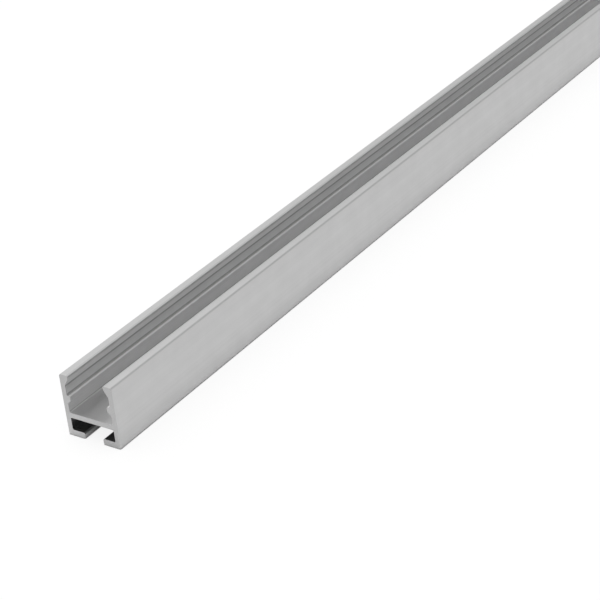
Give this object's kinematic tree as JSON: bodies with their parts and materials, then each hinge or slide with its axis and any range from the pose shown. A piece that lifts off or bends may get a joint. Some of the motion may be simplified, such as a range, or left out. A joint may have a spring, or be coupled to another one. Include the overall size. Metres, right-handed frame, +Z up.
{
  "type": "aluminium extrusion profile",
  "caption": "Straight length of satin anodised aluminium extrusion: an open light channel with snap lips along its rims and a C-slot along its underside.",
  "frame": {"origin": "under the middle of the length, on the plane that the foot of the profile rests on", "axes": "+Y along the length, +X across the section, +Z up, out of the open channel"},
  "size_m": [0.016, 1, 0.017],
  "materials": {
    "anodised_aluminium": "satin, natural anodised"
  },
  "bodies": {
    "root": {"channel_profile": "anodised_aluminium"}
  },
  "joints": []
}
